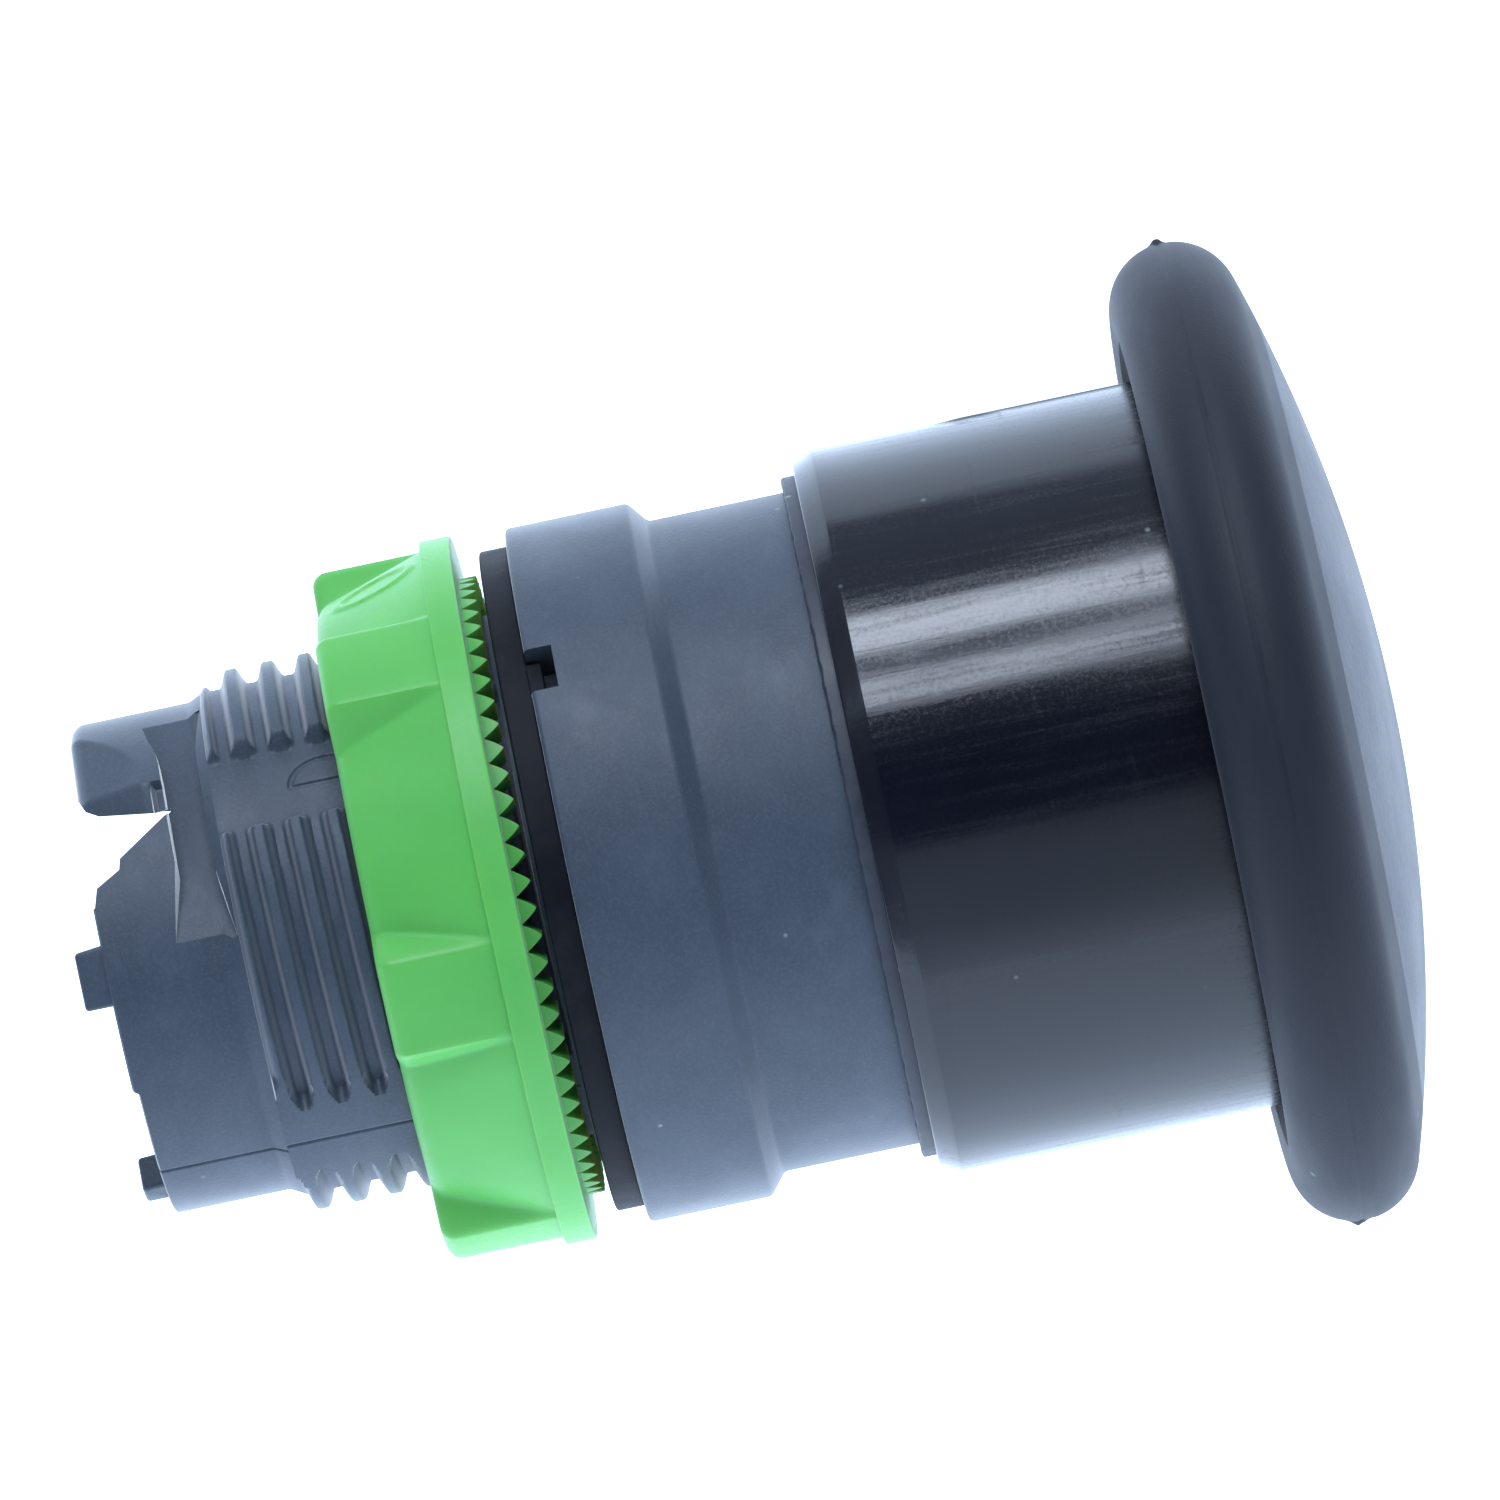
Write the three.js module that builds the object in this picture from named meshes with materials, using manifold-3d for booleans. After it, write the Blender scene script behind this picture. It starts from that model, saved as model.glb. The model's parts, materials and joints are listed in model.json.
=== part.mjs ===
// Mushroom-head push button for a 22 mm panel hole: operator head, body and fixing nut.
//
// Millimetres. The axis of the button lies along Y, and the cap points to -Y. +Z is twelve
// o'clock on the panel. The origin is on the axis, on the outer face of the panel.
// Along the axis, places are given as t, which grows from the panel towards the cap: y = -t.
// Round the axis, an angle is counted from +Z towards +X.

import * as THREE from 'three';
import { mergeVertices } from 'three/addons/utils/BufferGeometryUtils.js';
import Module from 'manifold-3d';

const wasm = await Module();
wasm.setup();

// ---- driving dimensions ----

const SEGMENTS = 40;           // round pieces that show, and all that run on the neck
const INNER_SEGMENTS = 24;     // round pieces on the plunger
const TRAVEL = 5;              // how far the head can be pressed
const RUN = 0.05;              // radial clearance of a sliding fit
const SEAT = 0.05;             // gap between two pieces that are pressed together

const HOLE_R = 11.0;           // body where it fills the panel hole
const GASKET_T = 1.2;          // thickness of the panel gasket
const GASKET_R = 13.5;
const FLANGE_R = 14.2;         // body flange in front of the panel
const FLANGE_TOP = 6.2;
const NECK_R = 13.33;          // neck that the sleeve slides on
const NECK_BASE = 6.9;
const NECK_TOP = 20.3;

const PITCH = 1.5;             // thread of the barrel
const CREST_R = 11.0;
const ROOT_R = 10.27;
const THREAD_END = -12.06;     // rear end of the thread
const THREAD_START = -0.2;
const GAP_ANGLE = -1.5;        // middle of the stretch where the thread is left out
const GAP_HALF = 9;
const PAD_ANGLE = -85;         // middle of the plain pad along the mould's parting line
const PAD_HALF = 12;

const TUBE_R = 9.95;           // rear tube behind the thread
const TUBE_BORE = 8.0;
const TUBE_END = -17.5;
const LUG_R = 10.0;            // lug that the contact block hooks over
const LUG_HALF = 52;
const LUG_FACET_ANGLE = 12;    // direction that the flat lead-in on the lug faces
const TABS = [                 // tabs on the rear rim: angle, half width in degrees, rear end
  [-36, 7.5, -18.6],
  [-101, 5, -18.2],
  [144, 7.5, -18.6],
];
const SLOT_ANGLE = -36;        // direction in which the rear slot runs through the tube
const SLOT = [                 // outline of the slot: t, distance to the side of the axis
  [-13.88, 5.95], [-13.88, 5.86], [-16.1, 4.42], [-16.2, 4.0], [-17.2, 3.45], [-17.42, 2.7],
  [-19.5, 2.4], [-19.5, 6.95], [-17.44, 6.95], [-17.2, 6.5], [-16.7, 6.22], [-14.5, 5.9],
];
const POCKET_FLOOR = 8.45;     // flat pocket across the tube at twelve o'clock
const POCKET = [
  [-14.6, -5.6], [-13.98, -2.3], [-14.0, 2.5], [-14.05, 3.3], [-14.31, 4.3], [-14.53, 5.6],
  [-12.1, 5.6], [-12.45, 3.0], [-12.45, -3.0], [-12.1, -5.6],
];

const NOTCH_HALF = 4.2;        // locating notch in the flange at twelve o'clock
const NOTCH_FLOOR_R = 12.2;
const NOTCH_TOP = 2.3;
const GLIDE_BACK = 17.7;       // groove of the glide ring in the neck
const GLIDE_FRONT = 19.1;
const GLIDE_GROOVE_R = 12.7;

const WEB_BACK = -1.0;         // wall across the body that carries the plunger
const WEB_FRONT = 2.0;
const WEB_BORE_R = 5.6;
const SEAL_POCKET_R = 6.4;
const SEAL_POCKET_BACK = 0.6;
const CUP_R = 9.6;             // spring chamber in the neck
const SEAT_WASHER_FRONT = WEB_FRONT + 0.8;
const SPRING_WIRE_R = 0.5;
const SPRING_R = 7.4;
const SPRING_TURNS = 6;

const PLUNGER_R = 4.5;
const PLUNGER_END = -14.0;
const SPIGOT_R = 3.2;          // thin rear end of the plunger that carries the pusher
const PUSHER_R = 7.3;
const PUSHER_FRONT = -11.3;
const PUSHER_BACK = -13.0;
const PUSHER_CLIP_BACK = PUSHER_BACK - 0.6;
const STOP_FRONT = WEB_BACK - SEAT;
const STOP_BACK = STOP_FRONT - 0.6;
const CLIP_BACK = STOP_BACK - 0.7;
const CLIP_GROOVE_R = 3.6;
const CLIP_MOUTH = 38;         // half angle of an open clip's mouth

const SLEEVE_R = 14.8;
const SLEEVE_END = 13.0;       // rear edge of the sleeve
const SLEEVE_TOP = 28.8;
const DISC_BACK = NECK_TOP + TRAVEL + 1.0;   // disc that closes the sleeve in front
const DISC_FRONT = DISC_BACK + 1.6;
const RETAINER_BACK = DISC_BACK - 0.9;
const WIPER_R = 13.92;         // wiper seal in the mouth of the sleeve
const WIPER_BACK = 12.4;
const WIPER_FRONT = 14.6;
const SCREW_R = 1.55;
const WASHER_FRONT = DISC_FRONT + 0.6;

const CAP_R = 20;
const CAP_APEX = 34.6;
const RIM_R = 2.6;             // radius of the cap's rounded rim
const RIM_T = 29.3;            // where the rim is widest
const CAP_SOCKET_R = SLEEVE_R + 0.08;
const SNAP_BACK = 27.6;        // groove of the snap ring between sleeve and cap
const SNAP_FRONT = 28.2;
const SNAP_DEPTH = 0.45;

const NUT_FRONT = -1.0;        // face that carries the teeth
const NUT_FLANGE = -2.2;
const NUT_BACK = -6.9;
const NUT_R = 14.3;
const NUT_FLANGE_R = 14.4;
const NUT_TEETH = 72;
const NUT_TOOTH_R = 12.6;
const NUT_TOOTH_TIP = -0.33;
const NUT_LOBES = 6;
const NUT_LOBE_ANGLE = 10;     // middle of the first lobe
const NUT_LOBE_HALF = 8.5;

// ---- shape helpers ----

const radians = (degrees) => degrees * Math.PI / 180;

// Keeps only the merged positions of a geometry, and turns its faces outwards.
function closed(geometry) {
  const bare = geometry.clone();
  bare.deleteAttribute('normal');
  bare.deleteAttribute('uv');
  const merged = mergeVertices(bare, 1e-5);
  const p = merged.getAttribute('position');
  const index = Array.from(merged.index.array);
  const kept = [];
  const [a, b, c] = [new THREE.Vector3(), new THREE.Vector3(), new THREE.Vector3()];
  let volume = 0;
  for (let i = 0; i < index.length; i += 3) {
    const [ia, ib, ic] = index.slice(i, i + 3);
    if (ia === ib || ib === ic || ic === ia) continue;
    a.fromBufferAttribute(p, ia);
    b.fromBufferAttribute(p, ib);
    c.fromBufferAttribute(p, ic);
    volume += a.dot(b.cross(c));
    kept.push(ia, ib, ic);
  }
  if (volume < 0) kept.reverse();
  merged.setIndex(kept);
  return merged;
}

// A solid of revolution about the button's axis. The profile is a closed list of [radius, t].
function turned(profile, segments = SEGMENTS) {
  const points = profile.map(([r, t]) => new THREE.Vector2(r, -t));
  points.push(points[0].clone());
  return closed(new THREE.LatheGeometry(points, segments));
}

// A plain ring or washer.
function ring(inner, outer, back, front, segments = SEGMENTS) {
  return turned([[inner, back], [outer, back], [outer, front], [inner, front]], segments);
}

// A slab with the outline `shape` (x, z across the axis), from t = back to t = front.
function slab(shape, back, front) {
  const geometry = new THREE.ExtrudeGeometry(shape, {
    depth: front - back,
    bevelEnabled: false,
    curveSegments: 6,
  });
  geometry.translate(0, 0, back);
  geometry.rotateX(Math.PI / 2);
  return closed(geometry);
}

// The outline of a piece of a ring, between two angles.
function sector(inner, outer, from, to) {
  const steps = Math.max(2, Math.ceil((to - from) / (360 / SEGMENTS)));
  const at = (r, i) => {
    const angle = radians(from + (to - from) * i / steps);
    return new THREE.Vector2(r * Math.sin(angle), r * Math.cos(angle));
  };
  const points = [];
  for (let i = 0; i <= steps; i += 1) points.push(at(outer, i));
  for (let i = steps; i >= 0; i -= 1) points.push(at(inner, i));
  return new THREE.Shape(points);
}

function sectorSlab(inner, outer, middle, half, back, front) {
  return slab(sector(inner, outer, middle - half, middle + half), back, front);
}

function solid(geometry) {
  const vertProperties = new Float32Array(geometry.getAttribute('position').array);
  const triVerts = new Uint32Array(geometry.index.array);
  return new wasm.Manifold(new wasm.Mesh({ numProp: 3, vertProperties, triVerts }));
}

function geometryOf(manifold) {
  const mesh = manifold.getMesh();
  const geometry = new THREE.BufferGeometry();
  geometry.setAttribute('position', new THREE.Float32BufferAttribute(mesh.vertProperties, 3));
  geometry.setIndex(Array.from(mesh.triVerts));
  return closed(geometry);
}

const joined = (base, pieces) => geometryOf(pieces.reduce((s, g) => s.add(solid(g)), solid(base)));
const cut = (base, tools) => geometryOf(tools.reduce((s, g) => s.subtract(solid(g)), solid(base)));

// ---- materials ----

const plastic = (color, roughness) => new THREE.MeshStandardMaterial({ color, roughness, metalness: 0 });
const MATERIAL = {
  body: plastic(0x59616b, 0.62),
  sleeve: plastic(0x17181b, 0.22),
  cap: plastic(0x1b1c1e, 0.58),
  nut: plastic(0x5fc864, 0.42),
  rubber: plastic(0x1d1c1d, 0.85),
  seal: plastic(0x2b2b2d, 0.7),
  acetal: plastic(0xe4e2da, 0.4),
  steel: new THREE.MeshStandardMaterial({ color: 0xb4b7ba, roughness: 0.3, metalness: 1 }),
};

// ---- body ----

// Thread as closed sharp ridges one pitch apart, listed from the rear end to the front.
function threadProfile() {
  const ridge = [[0, ROOT_R], [0.5, CREST_R], [1.0, ROOT_R]];
  const points = [];
  const turns = Math.floor((THREAD_START - THREAD_END) / PITCH);
  for (let turn = 0; turn < turns; turn += 1) {
    ridge.forEach(([dt, r]) => points.push([r, THREAD_END + turn * PITCH + dt]));
  }
  return points;
}

// A prism across the rear tube. Its outline is [t, distance to the side of the axis]. It runs
// along the direction that lies `angle` round from twelve o'clock, and its middle is `middle` out.
function crossPrism(outline, halfLength, angle, middle = 0) {
  const shape = new THREE.Shape(outline.map(([t, h]) => new THREE.Vector2(t, h)));
  const geometry = new THREE.ExtrudeGeometry(shape, { depth: 2 * halfLength, bevelEnabled: false });
  geometry.translate(0, 0, middle - halfLength);
  const a = radians(angle);
  const frame = new THREE.Matrix4().makeBasis(
    new THREE.Vector3(0, -1, 0),
    new THREE.Vector3(Math.cos(a), 0, -Math.sin(a)),
    new THREE.Vector3(Math.sin(a), 0, Math.cos(a)),
  );
  return closed(geometry.applyMatrix4(frame));
}

function housing() {
  const shell = turned([
    [TUBE_BORE, TUBE_END],
    [TUBE_R, TUBE_END],
    [TUBE_R, THREAD_END - 0.3],
    ...threadProfile(),
    [ROOT_R, THREAD_START],
    [HOLE_R, THREAD_START],
    [HOLE_R, GASKET_T],
    [FLANGE_R, GASKET_T],
    [FLANGE_R, FLANGE_TOP],
    [NECK_R, NECK_BASE],
    [NECK_R, GLIDE_BACK - SEAT],
    [GLIDE_GROOVE_R, GLIDE_BACK - SEAT],
    [GLIDE_GROOVE_R, GLIDE_FRONT + SEAT],
    [NECK_R, GLIDE_FRONT + SEAT],
    [NECK_R, NECK_TOP],
    [CUP_R, NECK_TOP],
    [CUP_R, WEB_FRONT],
    [SEAL_POCKET_R, WEB_FRONT],
    [SEAL_POCKET_R, SEAL_POCKET_BACK],
    [WEB_BORE_R, SEAL_POCKET_BACK],
    [WEB_BORE_R, WEB_BACK],
    [TUBE_BORE, WEB_BACK],
  ]);
  const wallMiddle = TUBE_BORE + 0.4;
  const pads = [PAD_ANGLE, PAD_ANGLE + 180].map((angle) => (
    sectorSlab(wallMiddle, CREST_R - 0.1, angle, PAD_HALF, THREAD_END, THREAD_START - 0.1)));
  const tabs = TABS.map(([angle, half, end]) => (
    sectorSlab(TUBE_BORE + 0.15, TUBE_R - 0.15, angle, half, end, TUBE_END + 0.8)));
  const lug = sectorSlab(wallMiddle, LUG_R, SLOT_ANGLE + 90, LUG_HALF, TUBE_END, THREAD_END + 0.3);
  const gaps = [GAP_ANGLE, GAP_ANGLE + 180].map((angle) => (
    sectorSlab(ROOT_R, CREST_R + 1, angle, GAP_HALF, THREAD_END - 1, THREAD_START - 0.1)));
  const facet = crossPrism([
    [TUBE_END - 0.1, 9.13], [-14.14, 10.2], [-14.14, 12], [TUBE_END - 0.1, 12],
  ], 8, LUG_FACET_ANGLE - 90);
  const slot = crossPrism(SLOT, 14, SLOT_ANGLE);
  const pocket = crossPrism(POCKET, 2, 0, POCKET_FLOOR + 2);
  const notch = sectorSlab(NOTCH_FLOOR_R, FLANGE_R + 1, 0, NOTCH_HALF, GASKET_T - 0.5, NOTCH_TOP);
  return cut(joined(shell, [...pads, ...tabs, lug]), [...gaps, facet, slot, pocket, notch]);
}

// ---- pieces fixed to the body ----

// The gasket has a nib that fits the notch in the flange and stops it turning.
function panelGasket() {
  const nib = sectorSlab(NOTCH_FLOOR_R + 0.3, GASKET_R, 0, NOTCH_HALF - 0.8, GASKET_T - 0.4, GASKET_T + 0.6);
  return joined(ring(HOLE_R + SEAT, GASKET_R, 0, GASKET_T), [nib]);
}

const glideRing = () => ring(GLIDE_GROOVE_R + SEAT, NECK_R + RUN, GLIDE_BACK, GLIDE_FRONT);

const bumperRing = () => ring(CUP_R + 0.4, NECK_R - 0.4, NECK_TOP, NECK_TOP + 0.8);

const plungerBush = () => ring(
  PLUNGER_R + RUN, WEB_BORE_R - SEAT, WEB_BACK, SEAL_POCKET_BACK - SEAT, INNER_SEGMENTS);

// Lip seal: a ring with a V groove in its front face.
function stemSeal() {
  const inner = PLUNGER_R + RUN;
  const outer = SEAL_POCKET_R - SEAT;
  const front = WEB_FRONT - SEAT;
  return turned([
    [inner, SEAL_POCKET_BACK],
    [outer, SEAL_POCKET_BACK],
    [outer, front],
    [outer - 0.4, front],
    [(inner + outer) / 2, front - 0.7],
    [inner + 0.4, front],
    [inner, front],
  ], INNER_SEGMENTS);
}

const springSeat = () => ring(
  PLUNGER_R + 0.3, CUP_R - 0.2, WEB_FRONT, SEAT_WASHER_FRONT, INNER_SEGMENTS);

class Helix extends THREE.Curve {
  constructor(radius, back, front, turns) {
    super();
    Object.assign(this, { radius, back, front, turns });
  }

  // The end turns lie flat, as they do on a closed and ground spring.
  getPoint(u, target = new THREE.Vector3()) {
    const angle = 2 * Math.PI * this.turns * u;
    const flat = 1 / this.turns;
    const rise = Math.min(1, Math.max(0, (u - flat / 2) / (1 - flat)));
    const t = this.back + (this.front - this.back) * (0.94 * rise + 0.06 * u);
    return target.set(this.radius * Math.sin(angle), -t, this.radius * Math.cos(angle));
  }
}

function returnSpring() {
  const sides = 6;
  const wire = [];
  for (let i = 0; i < sides; i += 1) {
    const angle = 2 * Math.PI * i / sides;
    wire.push(new THREE.Vector2(SPRING_WIRE_R * Math.cos(angle), SPRING_WIRE_R * Math.sin(angle)));
  }
  const clear = SPRING_WIRE_R + 0.15;
  const path = new Helix(SPRING_R, SEAT_WASHER_FRONT + clear, RETAINER_BACK - clear, SPRING_TURNS);
  return closed(new THREE.ExtrudeGeometry(new THREE.Shape(wire), {
    steps: 14 * SPRING_TURNS,
    extrudePath: path,
    bevelEnabled: false,
  }));
}

// ---- pieces that move with the head ----

// Dome and rim meet in a tangent, so the dome's radius follows from the rim.
function mushroomCap() {
  const rimCentre = CAP_R - RIM_R;
  const rise = CAP_APEX - RIM_T;
  const domeR = (rimCentre ** 2 + rise ** 2 - RIM_R ** 2) / (2 * (rise - RIM_R));
  const domeCentre = CAP_APEX - domeR;
  const meet = Math.atan2(rimCentre, RIM_T - domeCentre);
  const wall = 2;
  const profile = [[CAP_SOCKET_R, 27.1], [15.7, 27.1], [16.0, 27.7], [16.5, 27.7]];
  const rimSteps = 9;
  for (let i = 0; i <= rimSteps; i += 1) {
    const angle = -Math.PI / 2 + (Math.PI - meet) * i / rimSteps;
    profile.push([rimCentre + RIM_R * Math.cos(angle), RIM_T + RIM_R * Math.sin(angle)]);
  }
  const domeSteps = 6;
  for (let i = 1; i <= domeSteps; i += 1) {
    const angle = meet * (1 - i / domeSteps);
    profile.push([domeR * Math.sin(angle), domeCentre + domeR * Math.cos(angle)]);
  }
  profile.push([0, CAP_APEX - wall], [7, CAP_APEX - wall - 0.4], [13.2, CAP_APEX - wall - 1.6]);
  profile.push([13.2, SLEEVE_TOP + 0.3], [CAP_SOCKET_R, SLEEVE_TOP + 0.3]);
  const groove = CAP_SOCKET_R + SNAP_DEPTH;
  profile.push([CAP_SOCKET_R, SNAP_FRONT + SEAT], [groove, SNAP_FRONT + SEAT]);
  profile.push([groove, SNAP_BACK - SEAT], [CAP_SOCKET_R, SNAP_BACK - SEAT]);
  return turned(profile);
}

const capSnapRing = () => ring(
  SLEEVE_R - SNAP_DEPTH, CAP_SOCKET_R + SNAP_DEPTH - SEAT, SNAP_BACK, SNAP_FRONT);

function operatorSleeve() {
  const bore = NECK_R + 2 * RUN + 0.04;
  const lipPocket = WIPER_R + 0.04;
  const groove = SLEEVE_R - SNAP_DEPTH - SEAT;
  return turned([
    [lipPocket, SLEEVE_END],
    [14.4, SLEEVE_END],
    [SLEEVE_R, SLEEVE_END + 0.85],
    [SLEEVE_R, SNAP_BACK - SEAT],
    [groove, SNAP_BACK - SEAT],
    [groove, SNAP_FRONT + SEAT],
    [SLEEVE_R, SNAP_FRONT + SEAT],
    [SLEEVE_R, SLEEVE_TOP],
    [13.0, SLEEVE_TOP],
    [13.0, DISC_FRONT],
    [SCREW_R + 0.35, DISC_FRONT],
    [SCREW_R + 0.35, DISC_BACK],
    [bore, DISC_BACK],
    [bore, WIPER_FRONT + SEAT],
    [lipPocket, WIPER_FRONT + SEAT],
  ]);
}

const wiperSeal = () => ring(NECK_R + RUN, WIPER_R, WIPER_BACK, WIPER_FRONT);

function plunger() {
  const screwHole = SCREW_R + 0.05;
  return turned([
    [0, PLUNGER_END],
    [SPIGOT_R, PLUNGER_END],
    [SPIGOT_R, PUSHER_CLIP_BACK - SEAT],
    [SPIGOT_R - 0.6, PUSHER_CLIP_BACK - SEAT],
    [SPIGOT_R - 0.6, PUSHER_BACK],
    [SPIGOT_R, PUSHER_BACK],
    [SPIGOT_R, PUSHER_FRONT + SEAT],
    [PLUNGER_R, PUSHER_FRONT + SEAT],
    [PLUNGER_R, CLIP_BACK - SEAT],
    [CLIP_GROOVE_R, CLIP_BACK - SEAT],
    [CLIP_GROOVE_R, STOP_BACK],
    [PLUNGER_R, STOP_BACK],
    [PLUNGER_R, DISC_BACK],
    [screwHole, DISC_BACK],
    [screwHole, 16],
    [0, 15.2],
  ], INNER_SEGMENTS);
}

// Pan-head screw with a hexagon socket.
function plungerScrew() {
  const headR = 2.9;
  const headTop = WASHER_FRONT + 1.7;
  const body = turned([
    [0, 17],
    [SCREW_R - 0.5, 17],
    [SCREW_R, 17.5],
    [SCREW_R, WASHER_FRONT],
    [headR, WASHER_FRONT],
    [headR, headTop - 0.5],
    [headR - 0.7, headTop],
    [0, headTop],
  ], INNER_SEGMENTS);
  const corners = [0, 1, 2, 3, 4, 5].map((i) => (
    new THREE.Vector2(1.25 * Math.sin(radians(60 * i)), 1.25 * Math.cos(radians(60 * i)))));
  return cut(body, [slab(new THREE.Shape(corners), headTop - 1.1, headTop + 1)]);
}

const screwWasher = () => ring(SCREW_R + 0.15, 4.2, DISC_FRONT, WASHER_FRONT, INNER_SEGMENTS);

const springRetainer = () => ring(
  PLUNGER_R + 0.1, CUP_R - 0.7, RETAINER_BACK, DISC_BACK, INNER_SEGMENTS);

const stopWasher = () => ring(PLUNGER_R + 0.1, 7.5, STOP_BACK, STOP_FRONT, INNER_SEGMENTS);

// An open clip that snaps sideways into a groove: a ring with a mouth.
function openClip(inner, outer, back, front) {
  return slab(sector(inner, outer, CLIP_MOUTH - 180, 180 - CLIP_MOUTH), back, front);
}

const retainingClip = () => openClip(CLIP_GROOVE_R + SEAT, 6.6, CLIP_BACK, STOP_BACK);

const pusherClip = () => openClip(SPIGOT_R - 0.6 + SEAT, 4.9, PUSHER_CLIP_BACK, PUSHER_BACK);

// The pusher is a disc with a rim and four ribs, which presses the contact block's slides.
function rearPusher() {
  const back = PUSHER_BACK;
  const disc = turned([
    [SPIGOT_R + SEAT, back],
    [PUSHER_R, back],
    [PUSHER_R, PUSHER_FRONT + 0.6],
    [PUSHER_R - 0.9, PUSHER_FRONT + 0.6],
    [PUSHER_R - 0.9, back + 0.8],
    [SPIGOT_R + 1.2, back + 0.8],
    [SPIGOT_R + 1.2, PUSHER_FRONT],
    [SPIGOT_R + SEAT, PUSHER_FRONT],
  ], INNER_SEGMENTS);
  const ribs = [0, 90, 180, 270].map((angle) => (
    sectorSlab(SPIGOT_R + 1.0, PUSHER_R - 0.7, angle, 4, back + 0.4, PUSHER_FRONT)));
  return joined(disc, ribs);
}

// ---- fixing nut ----

// A ring of teeth: a band whose front edge rises and falls once per tooth.
function toothedBand(inner, outer, base, valley, tip, teeth) {
  const position = [];
  const index = [];
  const stations = 2 * teeth;
  for (let i = 0; i < stations; i += 1) {
    const angle = 2 * Math.PI * i / stations;
    const front = i % 2 ? valley : tip;
    [[inner, base], [outer, base], [outer, front], [inner, front]].forEach(([r, t]) => {
      position.push(r * Math.sin(angle), -t, r * Math.cos(angle));
    });
    const next = (i + 1) % stations;
    for (let k = 0; k < 4; k += 1) {
      const [a, b] = [4 * i + k, 4 * i + (k + 1) % 4];
      const [c, d] = [4 * next + k, 4 * next + (k + 1) % 4];
      index.push(a, b, c, b, d, c);
    }
  }
  const geometry = new THREE.BufferGeometry();
  geometry.setAttribute('position', new THREE.Float32BufferAttribute(position, 3));
  geometry.setIndex(index);
  return closed(geometry);
}

function fixingNut() {
  const bore = CREST_R + 0.1;
  const core = turned([
    [bore, NUT_BACK],
    [12.4, NUT_BACK],
    [12.65, NUT_BACK + 0.35],
    [13.95, NUT_FLANGE],
    [NUT_FLANGE_R, NUT_FLANGE],
    [NUT_FLANGE_R, NUT_FRONT],
    [bore, NUT_FRONT],
  ]);
  const lobes = [];
  for (let i = 0; i < NUT_LOBES; i += 1) {
    const middle = NUT_LOBE_ANGLE + i * 360 / NUT_LOBES;
    lobes.push(sectorSlab(11.8, NUT_R, middle, NUT_LOBE_HALF, NUT_BACK, NUT_FLANGE + 0.3));
  }
  const teeth = toothedBand(
    bore + 0.25, NUT_TOOTH_R, NUT_FRONT - 0.3, NUT_FRONT, NUT_TOOTH_TIP, NUT_TEETH);
  return joined(core, [...lobes, teeth]);
}

// ---- assembly ----

function part(name, geometry, material) {
  const mesh = new THREE.Mesh(geometry, material.clone());
  mesh.name = name;
  return mesh;
}

const fixed = new THREE.Group();
fixed.add(
  part('housing', housing(), MATERIAL.body),
  part('panel_gasket', panelGasket(), MATERIAL.rubber),
  part('glide_ring', glideRing(), MATERIAL.acetal),
  part('bumper_ring', bumperRing(), MATERIAL.seal),
  part('plunger_bush', plungerBush(), MATERIAL.acetal),
  part('stem_seal', stemSeal(), MATERIAL.seal),
  part('spring_seat', springSeat(), MATERIAL.steel),
  part('return_spring', returnSpring(), MATERIAL.steel),
);

const head = new THREE.Group();
head.add(
  part('mushroom_cap', mushroomCap(), MATERIAL.cap),
  part('cap_snap_ring', capSnapRing(), MATERIAL.steel),
  part('operator_sleeve', operatorSleeve(), MATERIAL.sleeve),
  part('wiper_seal', wiperSeal(), MATERIAL.seal),
  part('plunger', plunger(), MATERIAL.acetal),
  part('plunger_screw', plungerScrew(), MATERIAL.steel),
  part('screw_washer', screwWasher(), MATERIAL.steel),
  part('spring_retainer', springRetainer(), MATERIAL.acetal),
  part('stop_washer', stopWasher(), MATERIAL.steel),
  part('retaining_clip', retainingClip(), MATERIAL.steel),
  part('rear_pusher', rearPusher(), MATERIAL.acetal),
  part('pusher_clip', pusherClip(), MATERIAL.steel),
);

const group = new THREE.Group();
group.add(fixed, head, part('fixing_nut', fixingNut(), MATERIAL.nut));

export default group;
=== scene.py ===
# Mushroom-head push button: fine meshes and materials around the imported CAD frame.
# The button's axis lies along Y with the cap towards -Y. Along the axis, t = -y grows from the
# panel to the cap. Angles round the axis are counted from +Z towards +X. Shapes are in mm.

import json
import math

import bmesh
import bpy
import numpy as np
from mathutils import Matrix, Vector


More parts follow.
